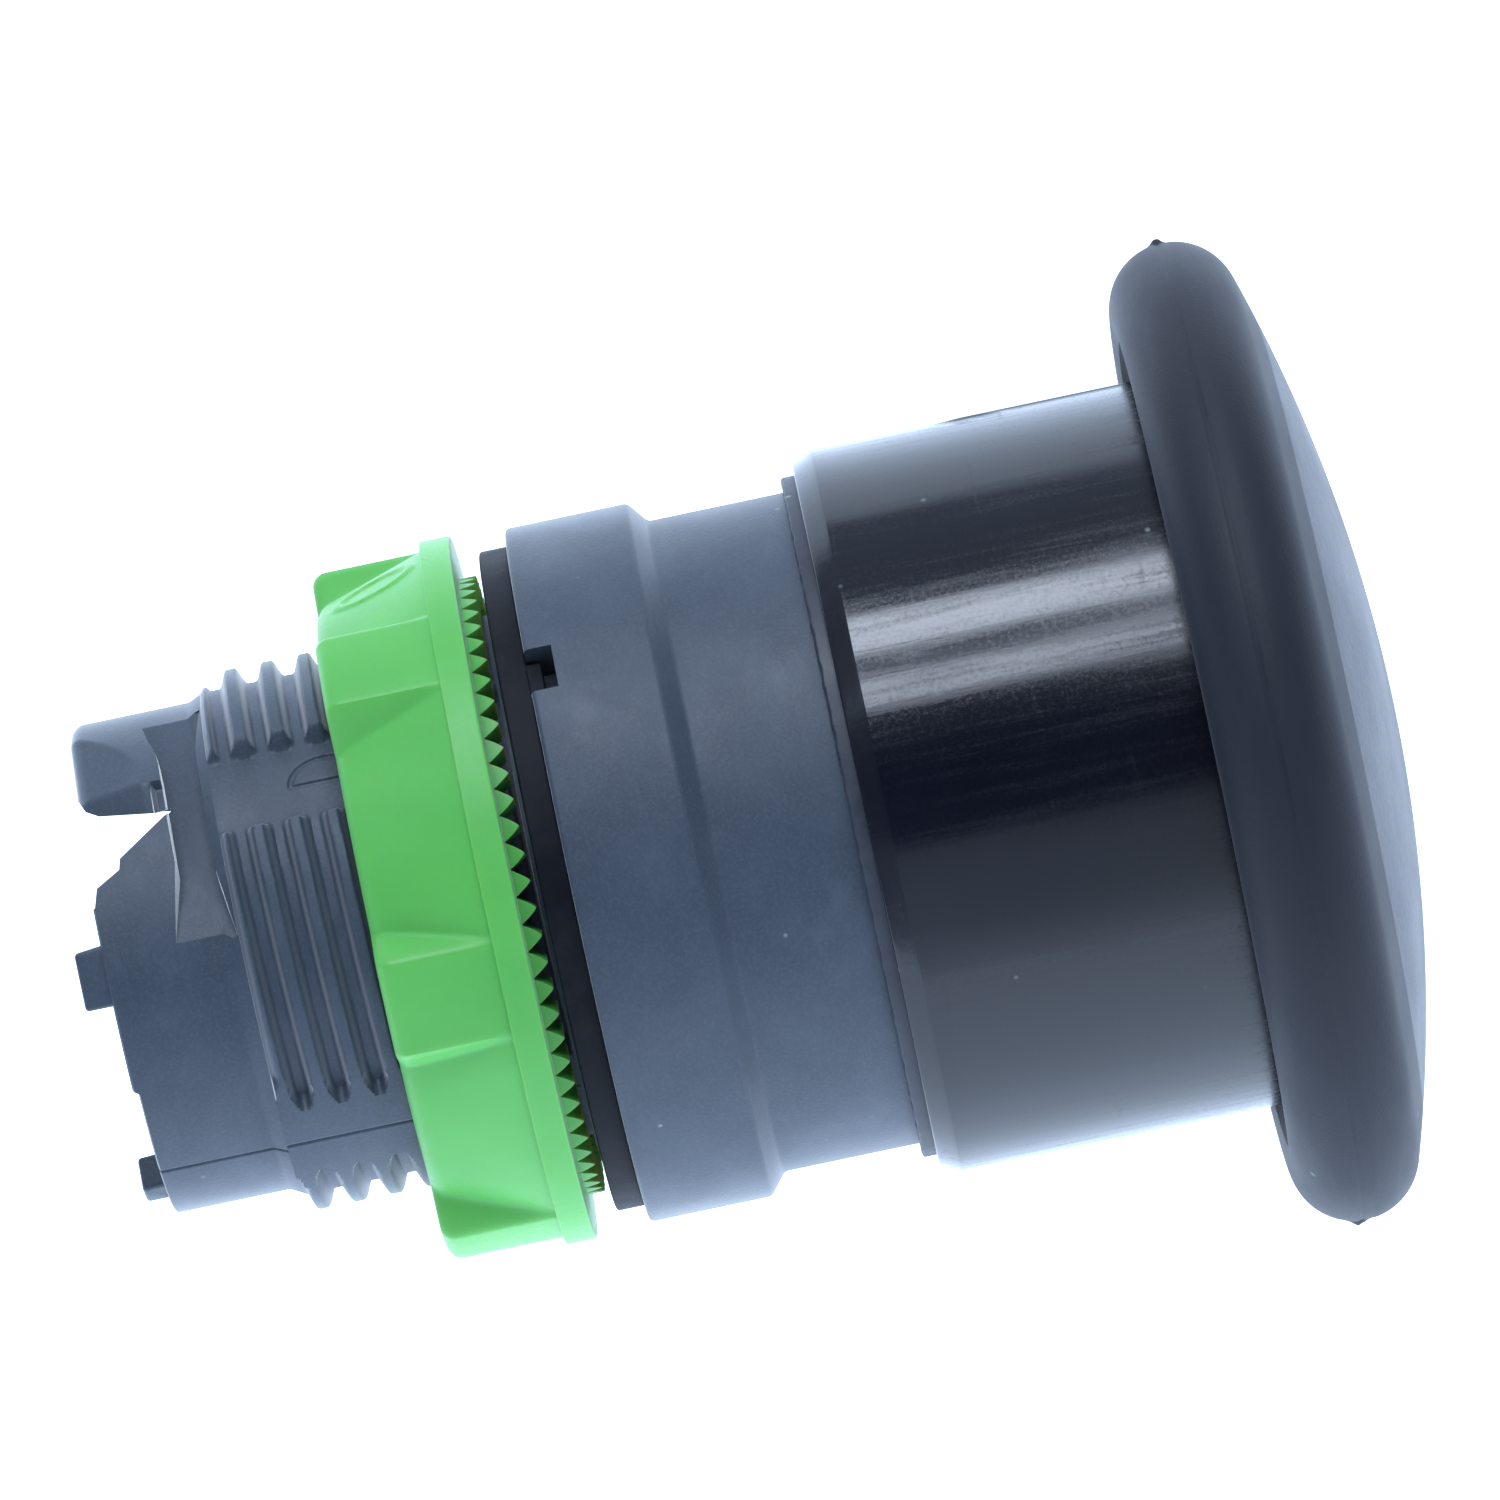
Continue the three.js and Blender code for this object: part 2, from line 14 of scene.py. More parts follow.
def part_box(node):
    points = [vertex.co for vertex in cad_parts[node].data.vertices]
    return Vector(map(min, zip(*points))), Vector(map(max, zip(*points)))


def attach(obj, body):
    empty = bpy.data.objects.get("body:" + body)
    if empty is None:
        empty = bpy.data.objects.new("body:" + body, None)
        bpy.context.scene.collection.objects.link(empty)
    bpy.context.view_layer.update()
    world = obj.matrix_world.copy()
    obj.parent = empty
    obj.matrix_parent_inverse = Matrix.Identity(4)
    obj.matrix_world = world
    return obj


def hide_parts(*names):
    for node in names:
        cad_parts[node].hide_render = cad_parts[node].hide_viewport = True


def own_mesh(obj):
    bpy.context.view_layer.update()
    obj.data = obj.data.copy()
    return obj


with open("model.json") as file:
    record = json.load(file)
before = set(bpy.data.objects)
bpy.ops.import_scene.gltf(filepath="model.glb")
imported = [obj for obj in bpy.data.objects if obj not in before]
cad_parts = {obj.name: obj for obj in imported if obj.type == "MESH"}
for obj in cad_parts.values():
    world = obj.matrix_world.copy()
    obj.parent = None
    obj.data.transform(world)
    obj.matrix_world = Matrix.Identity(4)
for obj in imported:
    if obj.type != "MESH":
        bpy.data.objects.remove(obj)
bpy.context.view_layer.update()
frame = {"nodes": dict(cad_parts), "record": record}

MM = 0.001


# ---------------------------------------------------------------- the frame's sizes

def extent(node):
    """Radius and the two ends along the axis of a round CAD node, in mm: (radius, back, front)."""
    low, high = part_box(node)
    return high.x / MM, -high.y / MM, -low.y / MM


CAP_R, _, CAP_APEX = extent("mushroom_cap")
SLEEVE_R, SLEEVE_END, SLEEVE_TOP = extent("operator_sleeve")
FLANGE_R, TAB_END, NECK_TOP = extent("housing")
GASKET_R = extent("panel_gasket")[0]
NUT_FLANGE_R, NUT_BACK, NUT_TIP = extent("fixing_nut")
WIPER_R, WIPER_BACK, WIPER_FRONT = extent("wiper_seal")

VIEW_ANGLE = -36.0         # direction round the axis that faces the camera

# Housing. Each outline is [t, distance to the side].
PITCH = 1.5                # of the thread
CREST_R = 10.98
ROOT_R = 10.27
THREAD_END = -12.06
THREAD_START = -0.2
TUBE_R = 9.95
TUBE_BORE = 8.0
RIM_R = 8.3                # middle of the tube's rear rim where the lug thins it most
TUBE_END = -17.5
SHOULDER = 0.6             # length of the slope from the tube up to the threaded barrel
LUG_R = 10.0
BARREL_R = 11.0            # plain barrel under the gasket
FLANGE_BACK = 1.2          # where the gasket lies against the flange
NECK_R = 13.33
SLOT = [
    (-13.88, 5.95), (-13.88, 5.86), (-16.1, 4.42), (-16.2, 4.0), (-17.2, 3.45), (-17.42, 2.7),
    (-19.5, 2.4), (-19.5, 6.95), (-17.44, 6.95), (-17.2, 6.5), (-16.7, 6.22), (-14.5, 5.9)]
POCKET = [
    (-14.6, -5.6), (-13.98, -2.3), (-14.0, 2.5), (-14.05, 3.3), (-14.31, 4.3), (-14.53, 5.6),
    (-12.1, 5.6), (-12.45, 3.0), (-12.45, -3.0), (-12.1, -5.6)]


# ---------------------------------------------------------------- mesh helpers

def arc_steps(turn):
    """Number of straight steps, of 15 degrees at most, for an arc of `turn` radians."""
    return max(2, int(math.ceil(abs(turn) / math.radians(15))))


def rounded(corners):
    """Rounds the corners of an outline. Each corner is (r, t) or (r, t, fillet radius)."""
    out = []
    n = len(corners)
    for i, corner in enumerate(corners):
        here = Vector(corner[:2])
        fillet = corner[2] if len(corner) > 2 else 0
        if not fillet:
            out.append(tuple(here))
            continue
        before = Vector(corners[i - 1][:2]) - here
        after = Vector(corners[(i + 1) % n][:2]) - here
        a, b = before.normalized(), after.normalized()
        half = a.angle(b) / 2
        reach = min(fillet / math.tan(half), 0.49 * before.length, 0.49 * after.length)
        radius = reach * math.tan(half)
        centre = here + (a + b).normalized() * radius / math.sin(half)
        start, end = here + a * reach - centre, here + b * reach - centre
        turn = math.atan2(start.x * end.y - start.y * end.x, start.dot(end))
        steps = arc_steps(turn)
        for k in range(steps + 1):
            c, s = math.cos(turn * k / steps), math.sin(turn * k / steps)
            out.append((centre.x + c * start.x - s * start.y, centre.y + s * start.x + c * start.y))
    return out


def split_long(outline, longest):
    """Adds points to the long sides of an outline, from its first point to its last."""
    out = []
    for (r0, t0), (r1, t1) in zip(outline, outline[1:]):
        steps = max(1, int(math.ceil(math.hypot(r1 - r0, t1 - t0) / longest)))
        out += [(r0 + (r1 - r0) * k / steps, t0 + (t1 - t0) * k / steps) for k in range(steps)]
    return out + [outline[-1]]


def linked(name, data):
    """A new object in the scene, made from a mesh, light or camera."""
    obj = bpy.data.objects.new(name, data)
    bpy.context.scene.collection.objects.link(obj)
    return obj


def new_object(name, vertices, faces):
    mesh = bpy.data.meshes.new(name)
    mesh.from_pydata(vertices, [], faces)
    return linked(name, mesh)


def clean(obj, sharp=32):
    """Welds doubled points, turns the faces outwards, and shades smooth up to a sharp angle."""
    bm = bmesh.new()
    bm.from_mesh(obj.data)
    bmesh.ops.remove_doubles(bm, verts=bm.verts, dist=1e-7)
    bmesh.ops.dissolve_degenerate(bm, edges=bm.edges, dist=1e-8)
    bmesh.ops.delete(bm, geom=[e for e in bm.edges if not e.link_faces], context="EDGES")
    if bm.calc_volume(signed=True) < 0:
        bmesh.ops.reverse_faces(bm, faces=bm.faces)
    bm.to_mesh(obj.data)
    bm.free()
    obj.data.shade_smooth()
    obj.data.set_sharp_from_angle(angle=math.radians(sharp))
    return obj


def revolved(name, radius, along, angles, sharp=32):
    """A closed ring of surface. radius and along are arrays [row, column] in mm; rows go round the
    closed profile, columns go round the axis at `angles` degrees."""
    rows, cols = radius.shape
    a = np.radians(angles)[None, :]
    points = np.stack([radius * np.sin(a), -along, radius * np.cos(a)], -1) * MM
    index = np.arange(rows * cols).reshape(rows, cols)
    below, right = np.roll(index, -1, 0), np.roll(index, -1, 1)
    across = np.roll(below, -1, 1)
    faces = np.stack([index, right, across, below], -1).reshape(-1, 4)
    return clean(new_object(name, points.reshape(-1, 3).tolist(), faces.tolist()), sharp)


def turned(name, outline, columns=192, change=None, sharp=32, start=0.0, extra=()):
    """A solid of revolution. change(r, t, angles) may return new radius and t arrays. `extra`
    adds columns at those angles."""
    profile = np.array(outline)
    angles = start + np.arange(columns) * 360.0 / columns
    angles = np.unique(np.round(np.concatenate([angles, np.array(extra, float)]) % 360, 4))
    r = np.repeat(profile[:, :1], len(angles), 1)
    t = np.repeat(profile[:, 1:], len(angles), 1)
    if change:
        r, t = change(r, t, angles[None, :])
    return revolved(name, r, t, angles, sharp)


def prism(name, outline, low, high, angle, bevel=0.0):
    """A prism whose outline is [t, distance to the side], running out from the axis at `angle`
    degrees from `low` to `high` mm."""
    n = len(outline)
    a = math.radians(angle)
    out, side = Vector((math.sin(a), 0, math.cos(a))), Vector((math.cos(a), 0, -math.sin(a)))
    points = [(side * h + out * d + Vector((0, -t, 0))) * MM
              for d in (low, high) for t, h in outline]
    faces = [list(range(n))[::-1], list(range(n, 2 * n))]
    faces += [[i, (i + 1) % n, n + (i + 1) % n, n + i] for i in range(n)]
    obj = clean(new_object(name, points, faces))
    if bevel:
        bm = bmesh.new()
        bm.from_mesh(obj.data)
        bmesh.ops.bevel(bm, geom=bm.edges[:], offset=bevel * MM, segments=3, profile=0.5,
                        affect="EDGES")
        bm.to_mesh(obj.data)
        bm.free()
    return obj


def oblong(back, front, half, half_front=None):
    """A prism's outline from t = back to t = front. half is its half width."""
    half_front = half_front or half
    return [(back, -half), (back, half), (front, half_front), (front, -half_front)]


def combine(obj, others, operation):
    """Joins or cuts obj with the other objects, which are then removed."""
    for other in others:
        modifier = obj.modifiers.new("combine", "BOOLEAN")
        modifier.operation = operation
        modifier.solver = "MANIFOLD"
        modifier.object = other
        graph = bpy.context.evaluated_depsgraph_get()
        result = bpy.data.meshes.new_from_object(obj.evaluated_get(graph))
        obj.modifiers.clear()
        obj.data = result
        bpy.data.objects.remove(other)
    return obj


def smooth_step(x):
    """0 below 0, 1 above 1, and a smooth curve between them."""
    x = np.clip(x, 0, 1)
    return x * x * (3 - 2 * x)


def apart(angle, middle):
    """Signed distance in degrees from `middle`, from -180 to 180."""
    return (angle - middle + 180) % 360 - 180


def soft_max(a, b, width):
    """The larger of a and b, blended where they differ by less than `width`."""
    h = np.clip(0.5 + 0.5 * (a - b) / width, 0, 1)
    return b + (a - b) * h + width * h * (1 - h)


def soft_min(a, b, width):
    return -soft_max(-a, -b, width)


# ---------------------------------------------------------------- materials

class Nodes:
    """Short calls that add nodes to a node tree. `add` gives the node, and ramp, math and mix give
    its output."""

    def __init__(self, tree):
        self.tree = tree

    def add(self, kind, inputs=None, **settings):
        node = self.tree.nodes.new(kind)
        for key, value in settings.items():
            setattr(node, key, value)
        for key, value in (inputs or {}).items():
            self.feed(value, node.inputs[key])
        return node

    def feed(self, value, socket):
        if isinstance(value, bpy.types.NodeSocket):
            self.tree.links.new(value, socket)
        else:
            socket.default_value = value

    def ramp(self, value, low, high, to_low=0.0, to_high=1.0):
        node = self.add("ShaderNodeMapRange", {
            "Value": value, "From Min": low, "From Max": high, "To Min": to_low, "To Max": to_high})
        return node.outputs[0]

    def math(self, operation, a, b=0.0):
        return self.add("ShaderNodeMath", {0: a, 1: b}, operation=operation).outputs[0]

    def mix(self, factor, a, b):
        node = self.add("ShaderNodeMix", {"Factor": factor}, data_type="RGBA")
        self.feed(a, node.inputs[6])
        self.feed(b, node.inputs[7])
        return node.outputs[2]


class Material(Nodes):
    """A Principled material. Its patterns follow the place on the object, and `per_mm` is how many
    of a pattern's cells there are to a millimetre."""

    def __init__(self, name, **constants):
        self.material = bpy.data.materials.new(name)
        self.material.use_nodes = True
        super().__init__(self.material.node_tree)
        self.shader = self.tree.nodes["Principled BSDF"]
        self.place = self.add("ShaderNodeTexCoord").outputs["Object"]
        for key, value in constants.items():
            self.shader.inputs[key.replace("_", " ")].default_value = value

    def scaled(self, scale):
        """The place, stretched, for patterns that are drawn out in one direction."""
        return self.add("ShaderNodeMapping", {"Vector": self.place, "Scale": scale}).outputs[0]

    def along(self):
        """The place's Y."""
        return self.add("ShaderNodeSeparateXYZ", {"Vector": self.place}).outputs["Y"]

    def noise(self, per_mm, detail=3.0, rough=0.55, vector=None):
        node = self.add("ShaderNodeTexNoise", {
            "Vector": vector or self.place, "Scale": per_mm / MM, "Detail": detail,
            "Roughness": rough})
        return node.outputs["Fac"]

    def spots(self, per_mm, size):
        """1 inside sparse round spots, 0 outside. size is a share of the cell."""
        node = self.add("ShaderNodeTexVoronoi", {"Vector": self.place, "Scale": per_mm / MM})
        return self.ramp(node.outputs["Distance"], size, 0.4 * size)

    def dust(self, base, per_mm, size, patches, color):
        """Specks of dust over a base colour, in patches: (patches per mm, noise where they start,
        noise where they are thick)."""
        patch_per_mm, thin, thick = patches
        where = self.ramp(self.noise(patch_per_mm, 1.0), thin, thick)
        return self.mix(self.math("MULTIPLY", self.spots(per_mm, size), where), base, color)

    def bump(self, height, depth_mm, strength=1.0, normal=None):
        inputs = {"Height": height, "Strength": strength, "Distance": depth_mm * MM}
        if normal:
            inputs["Normal"] = normal
        return self.add("ShaderNodeBump", inputs).outputs[0]

    def finish(self, color, roughness, normal):
        self.feed(color, self.shader.inputs["Base Color"])
        self.feed(roughness, self.shader.inputs["Roughness"])
        self.feed(normal, self.shader.inputs["Normal"])
        return self.material


def rgb(r, g, b):
    return (r, g, b, 1.0)


def body_plastic():
    """Blue-grey moulded plastic: spark-eroded grain, faint mottling, light dust specks."""
    m = Material("body_plastic", IOR=1.5, Specular_IOR_Level=0.5, Sheen_Weight=1.0,
                 Sheen_Roughness=0.3)
    grain = m.noise(7.0, 4.0)
    cloud = m.noise(0.35, 3.0)
    dark, light = rgb(0.034, 0.0492, 0.073), rgb(0.0463, 0.0636, 0.091)
    base = m.mix(m.ramp(cloud, 0.35, 0.68), dark, light)
    scuff = m.noise(0.3, 5.0, 0.68, m.scaled((1.0, 1.6, 1.0)))
    base = m.mix(m.ramp(scuff, 0.56, 0.76, 0.0, 0.45), base, rgb(0.085, 0.105, 0.135))
    base = m.mix(m.ramp(grain, 0.45, 0.75, 0.0, 0.5), base, rgb(0.068, 0.09, 0.125))
    base = m.dust(base, 0.55, 0.075, (0.18, 0.5, 0.62), rgb(0.25, 0.29, 0.33))
    rough = m.ramp(scuff, 0.3, 0.7, 0.46, 0.6)
    return m.finish(base, rough, m.bump(grain, 0.02, 0.5))


def sleeve_plastic():
    """Gloss black plastic with lengthwise hairline scratches, fine rubs and dust."""
    m = Material("sleeve_plastic", IOR=1.5)
    hairs = m.noise(2.6, 4.0, 0.65, m.scaled((1.0, 0.05, 1.0)))
    rings = m.noise(1.4, 2.0, 0.5, m.scaled((0.1, 1.0, 0.1)))
    pits = m.noise(3.5, 2.0)
    speck = m.noise(6.5, 3.0, 0.7)
    smudge = m.noise(0.12, 3.0)
    worn = m.ramp(m.along(), -19 * MM, -28 * MM, 0.0, 0.07)
    dark, light = rgb(0.0028, 0.0036, 0.0085), rgb(0.005, 0.0062, 0.013)
    base = m.mix(m.ramp(smudge, 0.4, 0.7), dark, light)
    base = m.dust(base, 0.5, 0.07, (0.2, 0.5, 0.6), rgb(0.16, 0.18, 0.2))
    scratched = m.ramp(hairs, 0.48, 0.72, 0.11, 0.24)
    rough = m.math("ADD", scratched, m.ramp(rings, 0.66, 0.78, 0.0, 0.12))
    rough = m.math("ADD", rough, m.math("ADD", worn, m.ramp(speck, 0.45, 0.7, 0.0, 0.1)))
    height = m.math("ADD", m.math("MULTIPLY", hairs, 0.8), m.math("MULTIPLY", pits, 0.35))
    return m.finish(base, rough, m.bump(height, 0.01, 0.35, m.bump(smudge, 0.05, 0.12)))


def cap_plastic():
    """Black moulded plastic. The dome is coarser than the satin rim, out to 16.5 mm from the axis and
    forward of t = 31, so that the collar under it stays satin. The dome is also paler, partly for its
    etched finish and partly as painted sheen, which stands in for the bright reflection it gives when
    seen edge-on."""
    m = Material("cap_plastic", IOR=1.5, Specular_IOR_Level=0.38, Sheen_Weight=0.06,
                 Sheen_Roughness=0.3)
    off_axis = m.add("ShaderNodeVectorMath", {0: m.scaled((1.0, 0.0, 1.0))}, operation="LENGTH")
    inside = m.ramp(off_axis.outputs["Value"], 16.4 * MM, 16.6 * MM, 1.0, 0.0)
    top = m.math("MULTIPLY", inside, m.ramp(m.along(), -30.5 * MM, -31 * MM))
    grain = m.noise(6.5, 4.0, 0.6)
    coarse = m.noise(3.2, 4.0, 0.65)
    rub = m.noise(0.5, 3.0, 0.55, m.scaled((0.35, 1.4, 0.35)))
    dark, light = rgb(0.0085, 0.0105, 0.0182), rgb(0.012, 0.0148, 0.0248)
    satin = m.mix(m.ramp(rub, 0.35, 0.7), dark, light)
    # Paler dome colours: partly the etched finish, partly painted sheen for the dome's bright edge-on
    # reflection.
    dark, light = rgb(0.027, 0.031, 0.042), rgb(0.043, 0.049, 0.063)
    pale_and_painted_sheen = m.mix(m.ramp(coarse, 0.38, 0.66), dark, light)
    base = m.mix(top, satin, pale_and_painted_sheen)
    base = m.dust(base, 0.4, 0.075, (0.15, 0.53, 0.64), rgb(0.16, 0.18, 0.21))
    rough = m.math("ADD", m.ramp(rub, 0.3, 0.72, 0.56, 0.66), m.math("MULTIPLY", top, -0.13))
    height = m.math("ADD", m.math("MULTIPLY", grain, 0.6), m.math("MULTIPLY", coarse, top))
    return m.finish(base, rough, m.bump(height, 0.035, 0.6))


def nut_plastic():
    """Satin green plastic, faintly translucent, with flow marks."""
    m = Material("nut_plastic", IOR=1.47, Specular_IOR_Level=0.36, Subsurface_Weight=0.4,
                 Subsurface_Scale=0.002, Sheen_Weight=0.15, Sheen_Roughness=0.2)
    flow = m.noise(0.22, 3.0, 0.5, m.scaled((1.0, 0.5, 1.0)))
    grain = m.noise(5.0, 3.0)
    dark, light = rgb(0.115, 0.485, 0.094), rgb(0.137, 0.535, 0.11)
    base = m.mix(m.ramp(flow, 0.35, 0.7), dark, light)
    rough = m.ramp(grain, 0.35, 0.7, 0.36, 0.46)
    return m.finish(base, rough, m.bump(grain, 0.01, 0.35, m.bump(flow, 0.15, 0.15)))


def rubber(name, dark, light, gloss, smoothest, roughest):
    """Moulded rubber with a dusty bloom."""
    m = Material(name, IOR=1.5, Specular_IOR_Level=gloss)
    grain = m.noise(8.0, 3.0)
    bloom = m.noise(0.6, 4.0, 0.6)
    base = m.mix(m.ramp(bloom, 0.42, 0.7), dark, light)
    base = m.dust(base, 0.5, 0.08, (0.3, 0.55, 0.62), rgb(0.22, 0.23, 0.25))
    rough = m.ramp(bloom, 0.3, 0.7, smoothest, roughest)
    return m.finish(base, rough, m.bump(grain, 0.02, 0.4))


def acetal():
    """Natural white engineering plastic, slightly waxy."""
    m = Material("acetal", IOR=1.48, Subsurface_Weight=0.15, Subsurface_Scale=0.001)
    cloud = m.noise(0.4, 3.0)
    grain = m.noise(6.0, 2.0)
    base = m.mix(m.ramp(cloud, 0.35, 0.7), rgb(0.66, 0.65, 0.6), rgb(0.74, 0.73, 0.69))
    rough = m.ramp(grain, 0.3, 0.7, 0.3, 0.42)
    return m.finish(base, rough, m.bump(grain, 0.01, 0.3))


def spring_steel():
    """Bright steel with drawing lines and faint tarnish."""
    m = Material("spring_steel", Metallic=1.0)
    lines = m.noise(4.0, 3.0, 0.6, m.scaled((1.0, 0.2, 1.0)))
    tarnish = m.noise(0.5, 3.0)
    base = m.mix(m.ramp(tarnish, 0.45, 0.75), rgb(0.56, 0.57, 0.58), rgb(0.44, 0.43, 0.42))
    rough = m.ramp(lines, 0.3, 0.7, 0.24, 0.4)
    return m.finish(base, rough, m.bump(lines, 0.004, 0.4))


MATERIALS = {
    "body_plastic": body_plastic(),
    "sleeve_plastic": sleeve_plastic(),
    "cap_plastic": cap_plastic(),
    "nut_plastic": nut_plastic(),
    "gasket_rubber": rubber("gasket_rubber", rgb(0.005, 0.0058, 0.009),
                            rgb(0.012, 0.013, 0.018), 0.14, 0.5, 0.62),
    "seal_rubber": rubber("seal_rubber", rgb(0.024, 0.028, 0.042),
                          rgb(0.045, 0.05, 0.072), 0.5, 0.45, 0.6),
    "acetal": acetal(),
    "spring_steel": spring_steel(),
}


def install(obj, body, slot, *nodes):
    """Gives a piece the material named by its record slot, and its body, in place of CAD nodes."""
    obj.data.materials.clear()
    obj.data.materials.append(MATERIALS[slot])
    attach(obj, body)
    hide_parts(*nodes)
    return obj


# ---------------------------------------------------------------- housing

GAPS = (35.9, 215.9)         # middles of the stretches without thread, from the view angle
GAP_HALF = 10.2
PADS = (-48.0, 132.0)        # middles of the plain pads along the mould's parting line
PAD_HALF = 18.0
GROOVE_HALF = 0.5            # half width of a groove where it runs out into a pad
GROOVE_END = 1.35            # length of its rounded end
CREST = -10.37               # t of a crest at the view angle
RIDGE_HALF = 0.59            # half width of a ridge at its foot
FLANK = 0.43                 # width of its side
BARREL_DEGREE = 0.19         # mm that a degree spans on the threaded barrel
PARTING = (47.4, 54.3)       # parting line from the view angle: on the threaded barrel, on the tube
TAB_ROOT = 1.2               # how far a tab reaches into the tube's wall
TABS = [                     # name, middle from the view angle, its two sides, end
    ("front", 0.0, -1.22, 1.36, TAB_END),
    ("side", -66.0, -0.8, 0.8, -18.2),
    ("back", 180.0, -1.22, 1.22, TAB_END)]


def thread(t, phi):
    """Outer radius of the threaded barrel at t and at phi degrees from the view angle."""
    crest = CREST - PITCH * phi / 360.0
    s = (t - crest) / PITCH
    s = np.abs(s - np.round(s)) * PITCH
    ridge = smooth_step((RIDGE_HALF - s) / FLANK)
    ridge = ridge * smooth_step((t - THREAD_END + 0.05) / 0.45)
    for gap in GAPS:
        ridge = ridge * smooth_step((np.abs(apart(phi, gap)) - GAP_HALF) / 1.6 + 0.5)
    r = ROOT_R + (CREST_R - ROOT_R) * ridge
    from_groove = np.clip((PITCH / 2 - s) / GROOVE_HALF, 0, 1)
    for pad in PADS:
        inside = (PAD_HALF - np.abs(apart(phi, pad))) * BARREL_DEGREE
        end = GROOVE_END * np.sqrt(1 - from_groove ** 2)
        fill = smooth_step((inside - end) / 0.35 + 0.3)
        r = r + (CREST_R - r) * fill
    return r


def tube(t, phi):
    """Outer radius of the rear tube. The lug stands a little proud and has a flat lead-in, and
    below that a narrow flat along its lower edge, which ends in a small recess."""
    lug_middle, lug_half, lug_start = 90.0, 54, 35.2
    lead_angle, lower_angle = 48.0, 15
    lug = smooth_step((lug_half - np.abs(apart(phi, lug_middle))) / 1.5)
    r = TUBE_R + (LUG_R - TUBE_R) * lug
    from_rear = t + 17.17
    reach = 9.26 + 0.31 * from_rear
    lead_in = reach / np.cos(np.radians(np.clip(apart(phi, lead_angle), -45, 45)))
    r = np.where((phi > 20) & (phi < 80), np.minimum(r, lead_in), r)
    edge = 47.7 - 0.84 * from_rear
    at_edge = np.minimum(LUG_R, reach / np.cos(np.radians(edge - lead_angle)))
    lower = at_edge * np.cos(np.radians(edge - lower_angle))
    lower = lower / np.cos(np.radians(np.clip(phi, 0, 60) - lower_angle))
    below = (phi < edge) & (phi > lug_start)
    r = np.where(below & (t < -14.5), np.minimum(r, lower), r)
    recess = smooth_step((t + 14.4) / 0.12) * smooth_step((-13.9 - t) / 0.1)
    recess = recess * smooth_step((45.8 - phi) / 1.0) * smooth_step((phi - lug_start) / 0.5)
    r = r - 0.45 * recess
    r = r + (ROOT_R - r) * np.clip((t - THREAD_END) / SHOULDER + 1, 0, 1)
    rounding = 0.45 * lug + 0.12
    drop = np.clip((TUBE_END + rounding - t) / rounding, 0, 1)
    r = r - rounding * (1 - np.sqrt(1 - drop ** 2 * 0.98))
    return np.maximum(r, RIM_R + 0.1)


def half_moon(t, phi):
    """Thin engraved outline of a half disc beside the nut, a plain mould mark."""
    radius, depth, half_line, far = 1.25, 0.09, 0.13, 9.0
    u = (t + 7.5) / 1.16
    v = (phi - 34.2) * BARREL_DEGREE
    rim = np.where(v > 0, np.abs(np.hypot(u, v) - radius), far)
    foot = np.where(np.abs(u) < radius, np.abs(v), far)
    return -depth * smooth_step((half_line - np.minimum(rim, foot)) / 0.09)


def seam(t, phi):
    """Fine groove along the mould's parting line, which lies in a plane beside the axis."""
    depth, half_width, tube_degree = 0.07, 0.1, 0.18
    side = np.where(t > THREAD_END, *PARTING)
    off = np.minimum(np.abs(apart(phi, -side)), np.abs(apart(phi, 180 - side))) * tube_degree
    return depth * np.clip(1 - off / half_width, 0, 1)


def housing_outside(r, t, angles):
    """Shapes the barrel and tube behind the flange. Over part of the rear rim, the last
    millimetre of the tube is shortened by a fifth, which leaves a shallow step."""
    phi = apart(angles - VIEW_ANGLE, 0) + 0 * t
    shaped = np.where(t > THREAD_END, thread(t, phi) + half_moon(t, phi), tube(t, phi))
    shaped = shaped - seam(t, phi)
    outside = (r > 9.9) & (t < THREAD_START + 0.001) & (np.abs(r - BARREL_R) > 0.001)
    r = np.where(outside, shaped, r)
    step = smooth_step((-28.3 - phi) / 1.0) * smooth_step((phi + 175) / 1.0)
    back = (t < TUBE_END + 1.0) & (r > TUBE_BORE - 0.5)
    return r, np.where(back, t + 0.2 * step * (TUBE_END + 1.0 - t), t)


